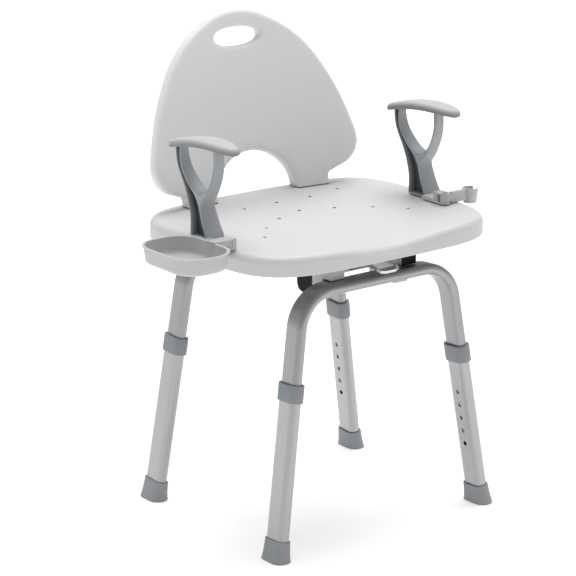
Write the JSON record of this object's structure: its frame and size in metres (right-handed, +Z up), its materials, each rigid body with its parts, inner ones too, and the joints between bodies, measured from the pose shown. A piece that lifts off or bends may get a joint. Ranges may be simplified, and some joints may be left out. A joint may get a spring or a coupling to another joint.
{
  "type": "swivel bath seat",
  "caption": "Bath and shower seat that turns on a four-legged aluminium frame, with a backrest, lift-off arms, a soap dish and a hand shower holder.",
  "frame": {"origin": "on the floor, midway between the four feet, under the swivel bolt", "axes": "+Z up; the sitter looks along -Y, so -Y is the front; +X is on the right when one stands in front and looks at the seat"},
  "size_m": [0.6715, 0.4608, 0.828],
  "materials": {
    "white_plastic": "satin white",
    "arm_plastic": "satin mid grey",
    "pad_plastic": "satin light grey",
    "tray_plastic": "satin grey",
    "collar_plastic": "satin grey",
    "ring_plastic": "smooth",
    "black_plastic": "satin black",
    "rubber": "matte grey",
    "aluminium": "satin anodised",
    "steel": "zinc plated"
  },
  "bodies": {
    "base": {"front_frame_tube": "aluminium", "rear_frame_tube": "aluminium", "left_rail": "black_plastic", "right_rail": "black_plastic", "lower_swivel_plate": "steel", "glide_ring": "ring_plastic", "swivel_bolt": "steel", "swivel_washer": "steel", "swivel_nut": "steel", "lever_pin": "steel", "lock_housing": "steel", "lock_spring": "steel", "front_left_rail_bolt": "steel", "front_left_plate_bolt": "steel", "front_left_snap_spring": "steel", "front_right_rail_bolt": "steel", "front_right_plate_bolt": "steel", "front_right_snap_spring": "steel", "rear_left_rail_bolt": "steel", "rear_left_plate_bolt": "steel", "rear_left_snap_spring": "steel", "rear_right_rail_bolt": "steel", "rear_right_plate_bolt": "steel", "rear_right_snap_spring": "steel"},
    "seat": {"seat_shell": "white_plastic", "upper_swivel_plate": "steel", "seat_screw_1": "steel", "seat_screw_2": "steel", "seat_screw_3": "steel", "seat_screw_4": "steel"},
    "backrest": {"backrest": "white_plastic"},
    "left_arm": {"left_arm_post": "arm_plastic", "left_arm_pad": "pad_plastic"},
    "right_arm": {"right_arm_post": "arm_plastic", "right_arm_pad": "pad_plastic"},
    "soap_dish": {"soap_dish": "tray_plastic"},
    "holder_clip": {"shower_holder_clip": "tray_plastic", "shower_holder_pin": "tray_plastic"},
    "holder_arm": {"shower_holder_arm": "tray_plastic"},
    "lever": {"lock_lever": "steel"},
    "lock_pin": {"lock_pin": "steel"},
    "front_left_leg": {"front_left_lower_leg": "aluminium", "front_left_collar": "collar_plastic", "front_left_foot": "rubber"},
    "front_left_button": {"front_left_button": "steel"},
    "front_right_leg": {"front_right_lower_leg": "aluminium", "front_right_collar": "collar_plastic", "front_right_foot": "rubber"},
    "front_right_button": {"front_right_button": "steel"},
    "rear_left_leg": {"rear_left_lower_leg": "aluminium", "rear_left_collar": "collar_plastic", "rear_left_foot": "rubber"},
    "rear_left_button": {"rear_left_button": "steel"},
    "rear_right_leg": {"rear_right_lower_leg": "aluminium", "rear_right_collar": "collar_plastic", "rear_right_foot": "rubber"},
    "rear_right_button": {"rear_right_button": "steel"}
  },
  "joints": [
    {"name": "seat_swivel", "type": "hinge", "parent": "base", "child": "seat", "pos_m": [0, 0, 0.4789], "axis": [0, 0, 1], "continuous": true},
    {"name": "backrest_lift", "type": "slide", "parent": "seat", "child": "backrest", "axis": [0, 0.1908, 0.9816], "range_m": [0, 0.05]},
    {"name": "left_arm_lift", "type": "slide", "parent": "seat", "child": "left_arm", "axis": [0, 0, 1], "range_m": [0, 0.04]},
    {"name": "right_arm_lift", "type": "slide", "parent": "seat", "child": "right_arm", "axis": [0, 0, 1], "range_m": [0, 0.04]},
    {"name": "soap_dish_pull", "type": "slide", "parent": "left_arm", "child": "soap_dish", "axis": [-1, 0, 0], "range_m": [0, 0.05]},
    {"name": "holder_clip_pull", "type": "slide", "parent": "right_arm", "child": "holder_clip", "axis": [0, -1, 0], "range_m": [0, 0.06]},
    {"name": "holder_turn", "type": "hinge", "parent": "holder_clip", "child": "holder_arm", "pos_m": [0.214, -0.084, 0.5245], "axis": [0, 0, 1], "range_deg": [-20, 20]},
    {"name": "lever_lift", "type": "hinge", "parent": "base", "child": "lever", "pos_m": [0, -0.128, 0.462], "axis": [-1, 0, 0], "range_deg": [0, 8.1], "stiffness_Nm_per_rad": 1.5, "springref_deg": -5.73},
    {"name": "lock_pin_drop", "type": "slide", "parent": "base", "child": "lock_pin", "axis": [0, 0, -1], "range_m": [0, 0.004], "stiffness_N_per_m": 20, "springref_m": -0.012, "deforming": ["lock_spring"]},
    {"name": "front_left_leg_slide", "type": "slide", "parent": "base", "child": "front_left_leg", "axis": [-0.1491, -0.0475, -0.9877], "range_m": [-0.0484, 0.0484]},
    {"name": "front_left_button_out", "type": "slide", "parent": "base", "child": "front_left_button", "axis": [0.9888, -0.0072, -0.149], "range_m": [0, 0.0037], "stiffness_N_per_m": 3000, "springref_m": 0.006, "deforming": ["front_left_snap_spring"]},
    {"name": "front_right_leg_slide", "type": "slide", "parent": "base", "child": "front_right_leg", "axis": [0.1491, -0.0475, -0.9877], "range_m": [-0.0484, 0.0484]},
    {"name": "front_right_button_out", "type": "slide", "parent": "base", "child": "front_right_button", "axis": [-0.9888, -0.0072, -0.149], "range_m": [0, 0.0037], "stiffness_N_per_m": 3000, "springref_m": 0.006, "deforming": ["front_right_snap_spring"]},
    {"name": "rear_left_leg_slide", "type": "slide", "parent": "base", "child": "rear_left_leg", "axis": [-0.1491, 0.0475, -0.9877], "range_m": [-0.0484, 0.0484]},
    {"name": "rear_left_button_out", "type": "slide", "parent": "base", "child": "rear_left_button", "axis": [0.9888, 0.0072, -0.149], "range_m": [0, 0.0037], "stiffness_N_per_m": 3000, "springref_m": 0.006, "deforming": ["rear_left_snap_spring"]},
    {"name": "rear_right_leg_slide", "type": "slide", "parent": "base", "child": "rear_right_leg", "axis": [0.1491, 0.0475, -0.9877], "range_m": [-0.0484, 0.0484]},
    {"name": "rear_right_button_out", "type": "slide", "parent": "base", "child": "rear_right_button", "axis": [-0.9888, 0.0072, -0.149], "range_m": [0, 0.0037], "stiffness_N_per_m": 3000, "springref_m": 0.006, "deforming": ["rear_right_snap_spring"]}
  ],
  "couplings": [
    {"joint": "lock_pin_drop", "follows": "lever_lift", "m_per_rad": 0.028}
  ]
}
